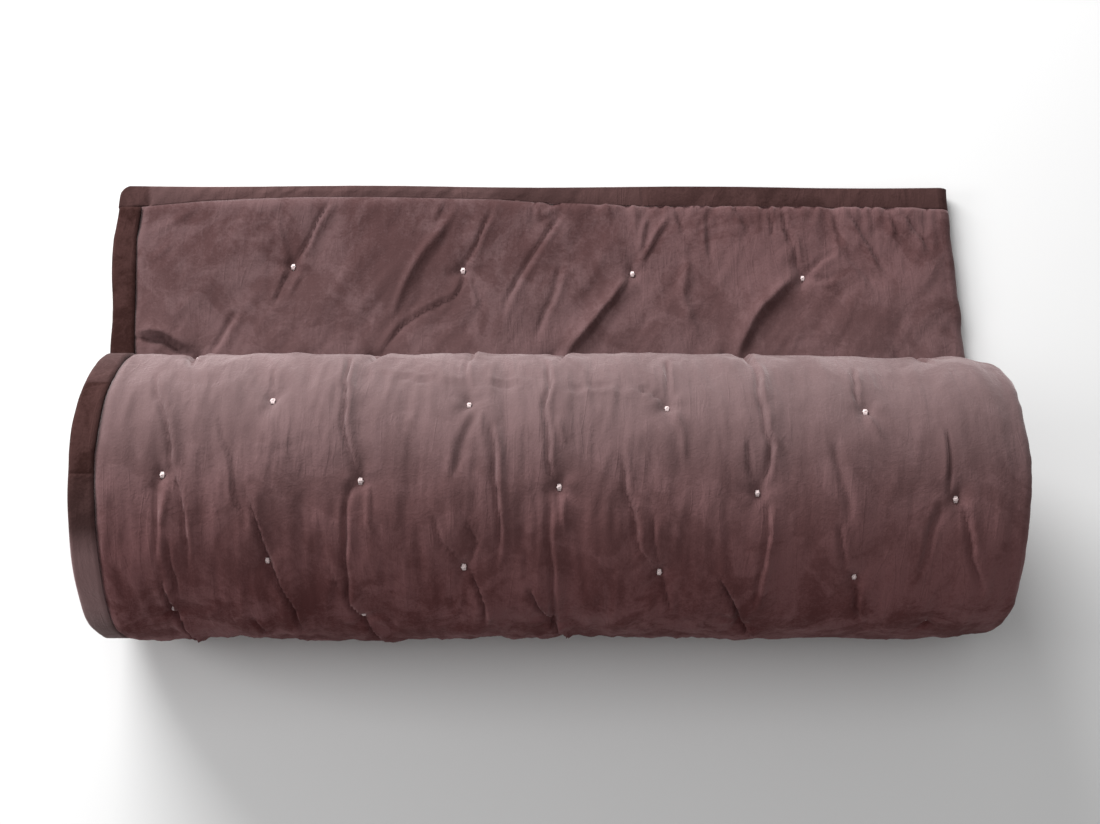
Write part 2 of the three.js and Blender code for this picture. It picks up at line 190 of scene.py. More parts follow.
TAIL_CREASES = [
    crease([(90, 104), (68, 136), (45, 163), (14, 204)], 0.8, 6.5, swell=4.6),
    crease([(86, 104), (60, 136), (37, 163), (8, 204)], -3.4, 20),
    crease([(267, 108), (234, 141), (220, 163), (203, 202)], 0.8, 8.5, swell=4.4),
    crease([(258, 108), (224, 141), (208, 163), (192, 202)], -3.4, 22),
    crease([(102, 38), (95, 80)], -3, 4.5),
    crease([(127, 40), (109, 62), (95, 90)], -4, 5),
    crease([(13, 36), (-14, 76), (-34, 105), (-49, 146)], 3.2, 6, swell=2.6, side=-1),
    crease([(14, 87), (6, 119), (-7, 154), (-14, 180)], 2.4, 7, swell=1.6, side=-1),
    crease([(257, 52), (264, 76), (268, 97)], 3, 4, swell=2.4, side=-1),
    crease([(324, 32), (343, 69), (359, 103)], 2.6, 5, swell=3),
    crease([(366, 32), (377, 60)], 2.6, 4.5, swell=2.6),
    crease([(382, 34), (410, 75)], 2.8, 5, swell=2.6),
    crease([(303, 32), (309, 85)], -2.6, 5),
    crease([(316, 76), (351, 119)], 2, 9, swell=1.5),
    crease([(235, 28), (239, 57)], 2.6, 4, swell=2),
    crease([(250, 28), (257, 70)], 2.8, 4, swell=2.4),
    crease([(275, 102), (291, 110), (310, 105)], 2, 4.5, swell=1.6),
    crease([(292, 116), (317, 132)], 1.8, 5, swell=1.2),
    crease([(275, 100), (288, 90), (308, 79)], 2, 4.5, swell=1.6),
    crease([(134, 28), (145, 58)], 2.4, 4.5, swell=2),
    crease([(168, 30), (174, 86)], 2.2, 6, swell=1.8),
    crease([(195, 24), (216, 58)], 2.6, 4.5, swell=2.2),
    crease([(146, 80), (140, 133), (153, 172)], -3.2, 12),
    crease([(-14, 24), (-16, 41), (-3, 37), (14, 25), (27, 44)], -2.6, 4),
    crease([(41, 25), (57, 22), (67, 41)], -2.4, 4),
    crease([(-432, 60), (-377, 28)], -1.4, 5),
    crease([(-431, 87), (-403, 69)], -1.4, 5),
    crease([(-323, 37), (-315, 16)], -2, 4),
    crease([(-298, 52), (-278, 87)], -2.4, 5.5),
    crease([(-271, 87), (-257, 62), (-239, 29)], 3.4, 4.5, swell=3),
    crease([(-281, 99), (-288, 116), (-298, 136)], 2, 4, swell=1.4),
    crease([(-268, 99), (-280, 126)], -2.4, 4),
    crease([(-334, 146), (-361, 192)], 2.8, 7, swell=1.8, side=-1),
    crease([(-440, 172), (-411, 177), (-384, 192)], 6, 8, swell=6, side=-1),
    crease([(-106, 40), (-133, 74), (-149, 97), (-164, 129), (-168, 146)], -3.4, 8),
    crease([(-112, 62), (-134, 96), (-147, 122)], 1.2, 7),
    crease([(-112, 25), (-126, 50)], 0.8, 4, swell=2),
    crease([(-90, 90), (-75, 64), (-62, 40)], 3.4, 4.5, swell=2.4),
    crease([(-91, 101), (-104, 129), (-131, 143), (-158, 160), (-182, 193)], 1.9, 4.2, swell=2),
    crease([(-86, 104), (-70, 142)], 2, 7, swell=1),
]


def interpolate(table, column, at):
    return np.interp(at, table[:, 0], table[:, column])


def smooth_step(low, high, value):
    share = np.clip((value - low) / (high - low), 0, 1)
    return share * share * (3 - 2 * share)


def bell(value, centre, reach):
    """1 at the centre, falling softly to almost nothing at twice the reach."""
    return np.exp(-(((value - centre) / reach) ** 2))


def blend(low, high, share):
    return low + (high - low) * share


# The cloth's route

def trace_route():
    """The route of the doubled cloth's table side, seen from its end: s, y, z, inward y and z."""
    angle = np.linspace(0, ROLL_TURNS * FULL_TURN, int(ROLL_TURNS * ROUTE_STEPS_PER_TURN) + 1)
    turn = angle / FULL_TURN
    depth = ROLL_DEPTH_RADIUS - ROLL_DEPTH_PITCH * turn
    height = ROLL_HEIGHT_RADIUS - ROLL_HEIGHT_PITCH * turn
    lower_half = np.maximum(0, np.cos(angle)) ** 2
    fullness = ROLL_FULLNESS * (1 - turn / ROLL_TURNS) * lower_half
    roll_y = -depth * np.sin(angle) * (1 + fullness)
    roll_z = np.maximum(0, ROLL_HEIGHT_RADIUS - height * np.cos(angle) - ROLL_FLAT)
    flat_y = np.linspace(TAIL_LENGTH, 0, ROUTE_STEPS_ON_TAIL, endpoint=False)
    y = np.concatenate([flat_y, roll_y])
    z = np.concatenate([np.zeros_like(flat_y), roll_z])
    s = np.concatenate([[0], np.cumsum(np.hypot(np.diff(y), np.diff(z)))])
    along_y, along_z = np.gradient(y, s), np.gradient(z, s)
    size = np.hypot(along_y, along_z)
    turn_ends = TAIL_LENGTH + (s[len(flat_y):] - s[len(flat_y)])
    outer_end = float(np.interp(FULL_TURN, angle, turn_ends))
    return s, y, z, along_z / size, -along_y / size, outer_end, angle


ROUTE_S, ROUTE_Y, ROUTE_Z, INWARD_Y, INWARD_Z, OUTER_TURN_END, ROLL_ANGLES = trace_route()
ROUTE_END = float(ROUTE_S[-1])

# The same shift as the CAD part's, read off a corner of its far binding
FAR_LOW, FAR_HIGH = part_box("binding_far_end")
SHIFT_X = FAR_LOW.x / MM - float(interpolate(EDGES, 1, BINDING_WIDTH))
SHIFT_Y = FAR_HIGH.y / MM - TAIL_LENGTH


def cloth_x(u, s):
    """How far right of the roll's middle a place on the cloth lies."""
    left, right = interpolate(EDGES, 1, s), interpolate(EDGES, 2, s)
    return left + u / WIDTH * (right - left)


def place(cloth):
    """Points in metres for an array of places (u, s, n) on the cloth."""
    u, s, n = cloth[:, 0], cloth[:, 1], cloth[:, 2]
    y = np.interp(s, ROUTE_S, ROUTE_Y) + n * np.interp(s, ROUTE_S, INWARD_Y)
    z = np.interp(s, ROUTE_S, ROUTE_Z) + n * np.interp(s, ROUTE_S, INWARD_Z)
    return np.stack([cloth_x(u, s) + SHIFT_X, y + SHIFT_Y, z], axis=1) * MM


def find_tufts():
    tufts = []
    for row in TUFT_ROWS:
        u = row["first"]
        while u < FOLD_START - FOLD_MARGIN:
            s = row["s"] + row["slant"] * (u - WIDTH / 2)
            tufts.append(dict(u=u, s=s, x=float(cloth_x(u, s)), side=row["side"]))
            u += row["pitch"]
    return tufts


TUFTS = find_tufts()


# Relief: how far a face stands out (positive) or sinks, in millimetres

TUFT_PIT_DEPTH, TUFT_PIT_RADIUS = 5.0, 6.5
TUFT_BASIN_DEPTH, TUFT_BASIN_RADIUS = 4.2, 24.0
PUCKER_RADIUS, PUCKERS_END = 11.0, 60.0

# Layers of noise over the cloth: height, scale across, scale along, slant and seed
ROLL_SWELLS = [(4.2, 60, 150, 0, 3.1), (2.8, 24, 110, 0, 7.7)]
ROLL_WRINKLES = [(1.9, 17, 75, 0, 11.3), (1.0, 9, 34, 0, 5.9)]
TAIL_SWELLS = [(3.0, 70, 60, 0, 13.1), (1.8, 24, 50, 0.6, 17.7)]
TAIL_WRINKLES = [(0.7, 14, 36, 0.5, 15.9)]
TAIL_GATHERS = [(1.0, 13, 90, 0, 21.5)]
GATHERS_REACH = 28.0

# From the first distance to a knot to the second, wrinkles and creases grow to full strength
ROLL_LOOSE, TAIL_LOOSE, CREASES_LOOSE = (3, 42), (3, 40), (2, 11)
CREASES_AT_KNOT = 0.35

# Creases are stronger low on the roll: the strengths, and from where to where along s
LOW_CREASES, HIGH_CREASES, TAIL_CREASES_STRENGTH = 2.2, 1.7, 1.2
CREASES_WEAKEN = 600, 720

# Along x: where gathers grow, where the far seam stops being smooth, and where the roll calms
LEFT_GATHERS, RIGHT_GATHERS = 1.2, 4.4
GATHERS_GROW, SEAM_CALM_ENDS, ROLL_CALMS = (-150, 250), (-80, 40), (60, 280)

# Creases waver by this much, over these scales across and along
WAVER, WAVER_ACROSS, WAVER_ALONG = 3.2, 26, 30
ROLL_WAVER_SEED, TAIL_WAVER_SEED = 31.7, 41.7

# The cloth dips beside its seams, and rounds off towards the fold's side
SEAM_REACH = 3.5
ROLL_SEAM_DIP, TAIL_SEAM_DIP, FAR_SEAM_DIP = 3.6, 4.5, 2.6
ROLL_END_DROP, TAIL_END_DROP = 6.0, 4.0
LOWEST_AT_SEAM, LOWEST_ON_TAIL = -3.4, -14.0

# The roll's highest line as the camera sees it, where wrinkles are weaker, and the drop there
HORIZON, HORIZON_REACH = 972.0, 36.0
HORIZON_DROP, HORIZON_DROP_AT, HORIZON_DROP_REACH = 4.0, 957.0, 60.0

# Some knots lie deeper: low on the roll's right, and in the row just beyond the horizon
SUNK_FROM_X, SUNK_FROM_S, SUNK_TO_S, SUNK_BY = 150.0, 600.0, 640.0, 3.0
HORIZON_FROM_S, HORIZON_TO_S, HORIZON_SUNK_BY = 960.0, 1000.0, 1.8


def line_distance(x, s, points):
    """Distance to a line of places, signed by side, and how far along it the nearest place is."""
    lengths = np.hypot(*np.diff(points, axis=0).T)
    starts = np.concatenate([[0], np.cumsum(lengths)])
    best = np.full(x.shape, np.inf)
    signed = np.zeros(x.shape)
    along = np.zeros(x.shape)
    for (x0, s0), (x1, s1), length, start in zip(points[:-1], points[1:], lengths, starts):
        dx, ds = (x1 - x0) / length, (s1 - s0) / length
        t = np.clip((x - x0) * dx + (s - s0) * ds, 0, length)
        offset_x, offset_s = x - x0 - t * dx, s - s0 - t * ds
        distance = np.hypot(offset_x, offset_s)
        nearer = distance < best
        best = np.where(nearer, distance, best)
        side = np.sign(dx * offset_s - ds * offset_x)
        signed = np.where(nearer, side * distance, signed)
        along = np.where(nearer, (start + t) / starts[-1], along)
    return best, signed, along


def crease_profile(x, s, one):
    """A sharp trough that climbs steeply to a swell on one side and softly on the other."""
    width = 0.72 * one["width"]
    distance, signed, along = line_distance(x, s, one["path"])
    signed = signed * one["side"]
    ends = smooth_step(0, 0.18, along) * (1 - smooth_step(0.75, 1, along))
    reach = np.where((along > 0.01) & (along < 0.99), 1, bell(distance, 0, width))
    trough = bell(signed, -0.2 * width, 0.62 * width)
    climb = smooth_step(-0.1 * width, 0.95 * width, signed)
    swell = climb * np.exp(-np.maximum(0, signed - 0.95 * width) / (1.5 * width))
    return (0.3 + 0.7 * ends) * reach * (one["swell"] * swell - one["depth"] * trough)


def crease_relief(x, s, creases):
    total = np.zeros(x.shape)
    for one in creases:
        reach = 7 * one["width"]
        low, high = one["path"].min(axis=0) - reach, one["path"].max(axis=0) + reach
        near = (x > low[0]) & (x < high[0]) & (s > low[1]) & (s < high[1])
        if near.any():
            total[near] += crease_profile(x[near], s[near], one)
    return total


def back_creases():
    """A crease up and one down from each tuft on the roll's far side."""
    creases = []
    for index, tuft in enumerate(TUFTS):
        if tuft["side"] == "outer" and tuft["s"] > HORIZON_TO_S:
            x, s, lean = tuft["x"], tuft["s"], 9 * math.sin(2.3 * index)
            up = [(x, s + 3), (x - 0.6 * lean, s + 24), (x + lean, s + 52)]
            down = [(x, s - 3), (x + 0.5 * lean, s - 22), (x - lean, s - 48)]
            side = 1 if index % 2 else -1
            creases.append(crease(up, 3, 5, swell=2.4, side=side))
            creases.append(crease(down, 3, 5, swell=2.4, side=-side))
    return creases


def tuft_relief(x, s, side):
    """Each tuft's tight pit and puckers in a wider basin, and how near the nearest tuft is."""
    nearest = np.full(x.shape, np.inf)
    puckers = np.zeros(x.shape)
    for index, tuft in enumerate(TUFTS):
        if tuft["side"] != side:
            continue
        across, along = x - tuft["x"], s - tuft["s"]
        distance = np.hypot(across, along)
        nearest = np.minimum(nearest, distance)
        near = distance < PUCKERS_END
        angle = np.arctan2(along[near], across[near])
        rays = 0.9 * np.cos(2 * angle) + 0.7 * np.cos(3 * angle + index)
        rays += 0.7 * np.cos(5 * angle + 2.3 * index)
        puckers[near] += rays * bell(distance[near], PUCKER_RADIUS, PUCKER_RADIUS)
    pit = TUFT_PIT_DEPTH * bell(nearest, 0, TUFT_PIT_RADIUS)
    basin = TUFT_BASIN_DEPTH * np.exp(-nearest / TUFT_BASIN_RADIUS)
    return puckers - pit - basin, nearest


def noise_relief(x, s, x_scale, s_scale, seed):
    """Smooth noise from -1 to 1 over the cloth, stretched to the two scales."""
    values = [
        noise.noise(Vector((a / x_scale, b / s_scale, seed)))
        for a, b in zip(x.ravel().tolist(), s.ravel().tolist())
    ]
    return np.array(values).reshape(x.shape)


def wrinkles(x, s, x_scale, s_scale, seed):
    """Narrow ridges: noise folded at zero."""
    return 1 - 2 * np.abs(noise_relief(x, s, x_scale, s_scale, seed))


def layered(pattern, x, s, layers):
    """The sum of a pattern's layers over the cloth."""
    return sum(
        height * pattern(x + slant * s, s, across, along, seed)
        for height, across, along, slant, seed in layers
    )


def wavering_creases(x, s, seed, creases):
    """The creases' relief, with every path made to waver a little."""
    shift_x = WAVER * noise_relief(x, s, WAVER_ACROSS, WAVER_ALONG, seed)
    shift_s = WAVER * noise_relief(x, s, WAVER_ACROSS, WAVER_ALONG, seed + 9)
    return crease_relief(x + shift_x, s + shift_s, creases)


def roll_relief(u, s):
    x = cloth_x(u, s)
    tufts, nearest = tuft_relief(x, s, "outer")
    away = smooth_step(*ROLL_LOOSE, nearest)
    on_top = bell(s, HORIZON, HORIZON_REACH)
    on_right = smooth_step(*ROLL_CALMS, x)
    soft = layered(noise_relief, x, s, ROLL_SWELLS)
    soft *= (1 - 0.5 * on_top) * (1 - 0.35 * on_right)
    fine = layered(wrinkles, x, s, ROLL_WRINKLES)
    fine *= (1 - 0.75 * on_top) * (1 - 0.55 * on_right)
    strength = blend(LOW_CREASES, HIGH_CREASES, smooth_step(*CREASES_WEAKEN, s))
    strength *= blend(CREASES_AT_KNOT, 1, smooth_step(*CREASES_LOOSE, nearest))
    creases = strength * wavering_creases(x, s, ROLL_WAVER_SEED, ROLL_CREASES + back_creases())
    side_seam = ROLL_SEAM_DIP * bell(u, PANEL_EDGE, SEAM_REACH)
    right_end = ROLL_END_DROP * smooth_step(45, -6, FOLD_START - u) ** 2
    top_right = HORIZON_DROP * smooth_step(120, 400, x) * bell(s, HORIZON_DROP_AT, HORIZON_DROP_REACH)
    return tufts + away * (soft + fine - 0.6) + creases - side_seam - right_end - top_right


def tail_relief(u, s):
    x = cloth_x(u, s)
    tufts, nearest = tuft_relief(x, s, "top")
    away = smooth_step(*TAIL_LOOSE, nearest)
    from_seam = np.maximum(0, s - PANEL_EDGE)
    soft = layered(noise_relief, x, s, TAIL_SWELLS)
    fine = layered(wrinkles, x, s, TAIL_WRINKLES)
    gathers = blend(LEFT_GATHERS, RIGHT_GATHERS, smooth_step(*GATHERS_GROW, x))
    gathers *= layered(wrinkles, x, s, TAIL_GATHERS) * np.exp(-from_seam / GATHERS_REACH)
    creases = TAIL_CREASES_STRENGTH * wavering_creases(x, s, TAIL_WAVER_SEED, TAIL_CREASES)
    calm_left = blend(smooth_step(0, 12, from_seam), 1, smooth_step(*SEAM_CALM_ENDS, x))
    side_seam = TAIL_SEAM_DIP * bell(u, PANEL_EDGE, SEAM_REACH)
    far_seam = FAR_SEAM_DIP * bell(from_seam, 0, SEAM_REACH)
    right_end = TAIL_END_DROP * smooth_step(40, -6, FOLD_START - u) ** 2
    total = tufts + calm_left * (away * (soft + fine) + gathers + creases)
    total = total - (side_seam + far_seam) - right_end
    return np.maximum(total, blend(LOWEST_AT_SEAM, LOWEST_ON_TAIL, smooth_step(0, 16, from_seam)))


# Meshes: a closed skin of rings, each a list of strips that follow one another

class Skin:
    """A closed skin's places on the cloth and its faces, built ring by ring."""

    def __init__(self):
        self.cloth, self.faces, self.count = [], [], 0

    def add_ring(self, strips):
        """Each strip's last place is the next strip's first, so it is left out."""
        rows = []
        for strip in strips:
            self.cloth.append(strip[:-1])
            rows.append(np.arange(self.count, self.count + len(strip) - 1))
            self.count += len(strip) - 1
        return [np.append(row, rows[(i + 1) % len(rows)][0]) for i, row in enumerate(rows)]

    def fill_between(self, near, far):
        """Quads between two strips of one length, triangles between unlike ones."""
        if len(near) == len(far):
            quads = np.stack([near[:-1], near[1:], far[1:], far[:-1]], axis=1)
            self.faces.extend(quads.tolist())
            return
        i, j, near_end, far_end = 0, 0, len(near) - 1, len(far) - 1
        while i < near_end or j < far_end:
            if j == far_end or (i < near_end and (i + 1) / near_end <= (j + 1) / far_end):
                self.faces.append([int(near[i]), int(near[i + 1]), int(far[j])])
                i += 1
            else:
                self.faces.append([int(near[i]), int(far[j + 1]), int(far[j])])
                j += 1

    def join(self, rings):
        for near, far in zip(rings[:-1], rings[1:]):
            for a, b in zip(near, far):
                self.fill_between(a, b)

    def cap_doubled(self, ring, is_start):
        """Closes an end, from each outer strip of a doubled ring to the slot's strip inside it."""
        outer, arc, top, _, slot_top, slot_arc, slot_under, _ = ring
        for outside, inside in ((outer, slot_under), (arc, slot_arc), (top, slot_top)):
            if is_start:
                self.fill_between(outside[::-1], inside)
            else:
                self.fill_between(outside, inside[::-1])

    def make(self, name):
        cloth = np.concatenate(self.cloth)
        return make_piece(name, place(cloth), self.faces, cloth * MM)


def make_piece(name, points, faces, cloth=None):
    mesh = bpy.data.meshes.new(name)
    mesh.from_pydata(points.tolist(), [], faces)
    if cloth is not None:
        places = mesh.attributes.new("cloth", "FLOAT_VECTOR", "POINT")
        places.data.foreach_set("vector", cloth.ravel())
    mesh.polygons.foreach_set("use_smooth", [True] * len(mesh.polygons))
    mesh.update()
    piece = bpy.data.objects.new(name, mesh)
    bpy.context.scene.collection.objects.link(piece)
    return piece


def give_values(piece, name, values):
    piece.data.attributes.new(name, "FLOAT", "POINT").data.foreach_set("value", values)


def strip_at(u, s, n):
    u = np.asarray(u, float)
    return np.stack([u, np.broadcast_to(s, u.shape), np.broadcast_to(n, u.shape)], axis=1)


def columns_between(low, high, step):
    return np.linspace(low, high, max(2, round((high - low) / step) + 1))


# The quilt: rings across the doubled cloth, one for each row along s

# The fold waves in and out along s: height, length and seed
FOLD_WAVES = [(3.0, 46, 2.5), (1.6, 17, 6.5)]
FOLD_SEGMENTS, SLOT_SEGMENTS = 10, 4


def fold_arc(radius, segments, s, start=None, end=None):
    """Half a turn round the cloth's fold, between two heights n, reaching out unevenly."""
    low = FOLD_RADIUS - radius if start is None else start
    high = FOLD_RADIUS + radius if end is None else end
    angle = np.linspace(0, math.pi, segments + 1)
    waves = [height * noise.noise(Vector((s / length, seed, 0))) for height, length, seed in FOLD_WAVES]
    reach = radius + (sum(waves) if radius > SLOT_RADIUS else 0)
    u = FOLD_START + reach * np.sin(angle)
    n = (low + high) / 2 - (high - low) / 2 * np.cos(angle)
    return np.stack([u, np.full(u.shape, s), n], axis=1)


def doubled_ring(s, edge, outer, top):
    """Out along the table side, round the fold, back along the top, then in and out of the slot."""
    columns = np.linspace(edge, FOLD_START, HIDDEN_COLUMNS + 1)
    slot_top = strip_at(columns, s, UPPER_SLOT)
    slot_under = strip_at(columns, s, LAYER)
    arc = fold_arc(FOLD_RADIUS, FOLD_SEGMENTS, s, outer[-1, 2], top[-1, 2])
    slot_arc = fold_arc(SLOT_RADIUS, SLOT_SEGMENTS, s)
    return [
        outer, arc, top[::-1], np.stack([top[0], slot_top[0]]), slot_top, slot_arc[::-1],
        slot_under[::-1], np.stack([slot_under[0], outer[0]]),
    ]


def warp_far_end(cloth):
    """Moves the panel's far edge to the wandering seam."""
    x = cloth_x(cloth[:, 0], cloth[:, 1])
    move = interpolate(FAR_SEAM, 1, x) + SEAT - PANEL_EDGE
    cloth[:, 1] += move * (1 - smooth_step(PANEL_EDGE, SEAM_WARP_END, cloth[:, 1]))


def cloth_rows():
    """Fine rows where the cloth shows, and coarser ones under and inside the roll."""
    rows = columns_between(PANEL_EDGE, TAIL_RELIEF_END, TAIL_ROW_STEP).tolist()
    rows += columns_between(TAIL_RELIEF_END, ROLL_ROWS_START, UNDER_ROW_STEP)[1:].tolist()
    rows += columns_between(ROLL_ROWS_START, OUTER_TURN_END, ROLL_ROW_STEP)[1:].tolist()
    turns = np.arange(1, ROLL_TURNS, 1 / HIDDEN_ROWS_PER_TURN)[1:]
    hidden = np.interp(turns * FULL_TURN, ROLL_ANGLES, ROUTE_S[-len(ROLL_ANGLES):])
    end = ROUTE_END - BINDING_WIDTH - CORE_SEAT
    past_outer = hidden > OUTER_TURN_END + HIDDEN_ROWS_MARGIN
    rows += hidden[past_outer & (hidden < end - HIDDEN_ROWS_MARGIN)].tolist()
    return np.array(rows + [end])


def make_quilt():
    rows = cloth_rows()
    fine = columns_between(PANEL_EDGE, FOLD_START, COLUMN_STEP)
    hidden = np.linspace(PANEL_EDGE, FOLD_START, HIDDEN_COLUMNS + 1)
    top_rows = rows < TAIL_RELIEF_END
    outer_rows = (rows > ROLL_RELIEF_START) & (rows < OUTER_TURN_END - 1)
    top_n = tail_relief(*np.meshgrid(fine, rows[top_rows]))
    top_n *= (1 - smooth_step(*TAIL_FADE, rows[top_rows]))[:, None]
    outer_n = roll_relief(*np.meshgrid(fine, rows[outer_rows]))
    fade = smooth_step(*ROLL_FADE_IN, rows[outer_rows])
    fade *= 1 - smooth_step(*ROLL_FADE_OUT, rows[outer_rows])
    outer_n *= fade[:, None]
    skin = Skin()
    rings = []
    top_at, outer_at = 0, 0
    for i, s in enumerate(rows):
        top = strip_at(hidden, s, DOUBLED)
        outer = strip_at(hidden, s, 0)
        if top_rows[i]:
            top = strip_at(fine, s, DOUBLED + top_n[top_at])
            top_at += 1
        if outer_rows[i]:
            outer = strip_at(fine, s, -outer_n[outer_at])
            outer_at += 1
        rings.append(skin.add_ring(doubled_ring(s, PANEL_EDGE, outer, top)))
    skin.join(rings)
    skin.cap_doubled(rings[0], True)
    skin.cap_doubled(rings[-1], False)
    for strip in skin.cloth:
        warp_far_end(strip)
    piece = skin.make("quilted_velvet")
    cloth = np.concatenate(skin.cloth)
    # Painted light: paler with more sheen on the roll's lit top, darker on its shaded front, lifted on the
    # tail against the roll's shadow
    give_values(piece, "painted_light", quilt_painted_light(cloth))
    # Painted shade: redder low on the roll's shaded front, a touch less red on the tail's left
    give_values(piece, "painted_shade_warmth", quilt_painted_shade_warmth(cloth))
    return piece


# Painted light on the roll along s: a low start, then how it rises towards the roll's lit top and falls
# beyond it: from, to, and by how much
ROLL_PAINTED_LIGHT, ROLL_PAINTED_LIGHT_CHANGES = 0.03, [(600, 790, 0.43), (780, 900, 0.42), (895, 1040, -0.42)]


def quilt_painted_light(cloth):
    """Painted light and sheen: most on the roll's lit top, least low on its shaded front; on the tail, more
    towards the roll and to the right, against the roll's shadow.
    """
    x, s = cloth_x(cloth[:, 0], cloth[:, 1]), cloth[:, 1]
    on_tail = 0.2 + 0.16 * smooth_step(60, 210, s) + 0.06 * smooth_step(-100, 300, x)
    on_roll = ROLL_PAINTED_LIGHT + sum(by * smooth_step(low, high, s) for low, high, by in ROLL_PAINTED_LIGHT_CHANGES)
    return np.where(s < ROLL_RELIEF_START, on_tail, on_roll)


def quilt_painted_shade_warmth(cloth):
    """How much redder painted shade the pile gets: most low on the roll's shaded front; below zero, a touch
    less red and darker, on the tail's left.
    """
    x, s = cloth_x(cloth[:, 0], cloth[:, 1]), cloth[:, 1]
    on_tail = -0.45 * (1 - smooth_step(-100, 300, x)) * (1 - 0.6 * smooth_step(90, 200, s))
    on_roll = 1 - smooth_step(710, 830, s)
    return np.where(s < ROLL_RELIEF_START, on_tail, on_roll)


# Bindings

BAND_ROUNDING, BAND_SEGMENTS = 4.5, 8
CORNER_RADIUS = 12.0
BAND_EDGE_THICKNESS = 3.0
BAND_TOP_DROP, BAND_SEAM_DROP = 2.6, 2.2
FAR_COLUMN_STEP, CORE_COLUMN_STEP = 2.4, 36
GROOVE_DEPTH, GROOVE_REACH = 0.9, 1.5
EDGE_WAVE, EDGE_WAVE_LENGTH = 2.2, 50
CROOKED_BY, CROOKED_WAVE, CROOKED_WAVE_LENGTH = 2.4, 0.9, 57

# Sewn strips swell and pucker: the swell, the puckers' heights, and their layers of noise along
# the strip as height, length and seed
SIDE_SWELL, SIDE_PUCKERS, END_PUCKERS = 0.5, 0.7, 0.8
PUCKER_LAYERS = [(1.1, 13, 0), (1.3, 52, 4)]

# The bindings' painted sheen along their strips, pale where a length's nap runs the other way: a place and
# the painted sheen there, from 0 dark to 1 pale.
# The far band is measured in x from the roll's middle, and the side bands in s.
FAR_PAINTED_SHEEN = np.array([
    (-470, 0.1), (-437, 0.12), (-433, 0.36), (-200, 0.3), (-70, 0.34), (-50, 0.2), (98, 0.16),
    (102, 0.1), (389, 0.08),
])
SIDE_PAINTED_SHEEN = np.array([
    (0, 0.2), (16, 0.2), (18, 0), (400, 0), (560, 0.2), (626, 0.4), (655, 0.85), (718, 0.85),
    (748, 0.12), (796, 0.04), (798, 0), (897, 0), (899, 0.12), (1000, 0.2),
])
FAR_JOINS = np.array([-435, 100, 389])
SIDE_JOINS = np.array([17, 797, 898])
ROWS_AT_JOIN = np.array([-4, -2, -1, 0, 1, 2, 4])


def band_section(width, thickness, rounding, segments):
    """A rounded band's outline: places (across, through) from its seam round its outer edge."""
    angle = np.linspace(0, math.pi, segments + 1)
    across = rounding * (1 - np.sin(angle))
    through = thickness / 2 * (1 + np.cos(angle))
    flat = np.linspace(width, rounding, 6)[:-1]
    upper = np.stack([flat, np.full(flat.shape, thickness)], axis=1)
    lower = np.stack([flat[::-1], np.zeros(flat.shape)], axis=1)
    return np.concatenate([upper, np.stack([across, through], axis=1), lower])


def join_groove(at, joins):
    """How deep the groove is at each place of a strip, where two lengths are sewn together."""
    nearest = np.abs(np.asarray(at)[:, None] - joins[None, :]).min(axis=1)
    return GROOVE_DEPTH * bell(nearest, 0, GROOVE_REACH)


def pucker_along(at, seed):
    """Small uneven swells along a sewn strip, from about -1 to 1."""
    layers = [
        [height * noise.noise(Vector((a / length, seed, level))) for a in np.asarray(at).tolist()]
        for height, length, level in PUCKER_LAYERS
    ]
    return np.sum(layers, axis=0)


def make_side_binding(name, low, seed):
    """A rounded strip along the bound edge, of one layer, with its joins and puckers."""
    near_joins = (SIDE_JOINS[:, None] + ROWS_AT_JOIN).ravel()
    near_joins = near_joins[near_joins > PANEL_EDGE]
    rows = np.unique(np.concatenate([cloth_rows(), near_joins]).round(2))
    section = band_section(BINDING_WIDTH, BINDING_THICKNESS, BAND_ROUNDING, BAND_SEGMENTS)
    middle = np.sin(np.clip(section[:, 0] / BINDING_WIDTH, 0, 1) * math.pi)
    facing = np.sign(section[:, 1] - BINDING_THICKNESS / 2)
    puckers = pucker_along(rows, seed)
    # Painted sheen along the strip, changing at its joins
    painted_sheen_values, grooves = interpolate(SIDE_PAINTED_SHEEN, 1, rows), join_groove(rows, SIDE_JOINS)
    painted_light, rings = [], []
    skin = Skin()
    for s, pucker, groove, painted_sheen_here in zip(rows, puckers, grooves, painted_sheen_values):
        swell = (SIDE_SWELL + SIDE_PUCKERS * pucker) * middle - groove * (middle > 0.05)
        through = np.clip(low + section[:, 1] + swell * facing, low, None)
        uneven = EDGE_WAVE * noise.noise(Vector((s / EDGE_WAVE_LENGTH, seed, 9)))
        across = section[:, 0] + uneven * (1 - section[:, 0] / BINDING_WIDTH)
        ring = np.stack([across, np.full(len(section), s), through], axis=1)
        rings.append(skin.add_ring([np.concatenate([ring, ring[:1]])]))
        painted_light.extend([painted_sheen_here] * len(ring))
    skin.join(rings)
    skin.faces.append([int(i) for i in rings[0][0][:-1]][::-1])
    skin.faces.append([int(i) for i in rings[-1][0][:-1]])
    piece = skin.make(name)
    # Painted sheen: pale on lengths whose nap runs the other way
    give_values(piece, "painted_light", painted_light)
    return piece


def rounded(distance, radius):
    """How much of its full size a rounded edge has, at a distance in from its tip."""
    return math.sqrt(max(0, 1 - (1 - min(1, distance / radius)) ** 2))


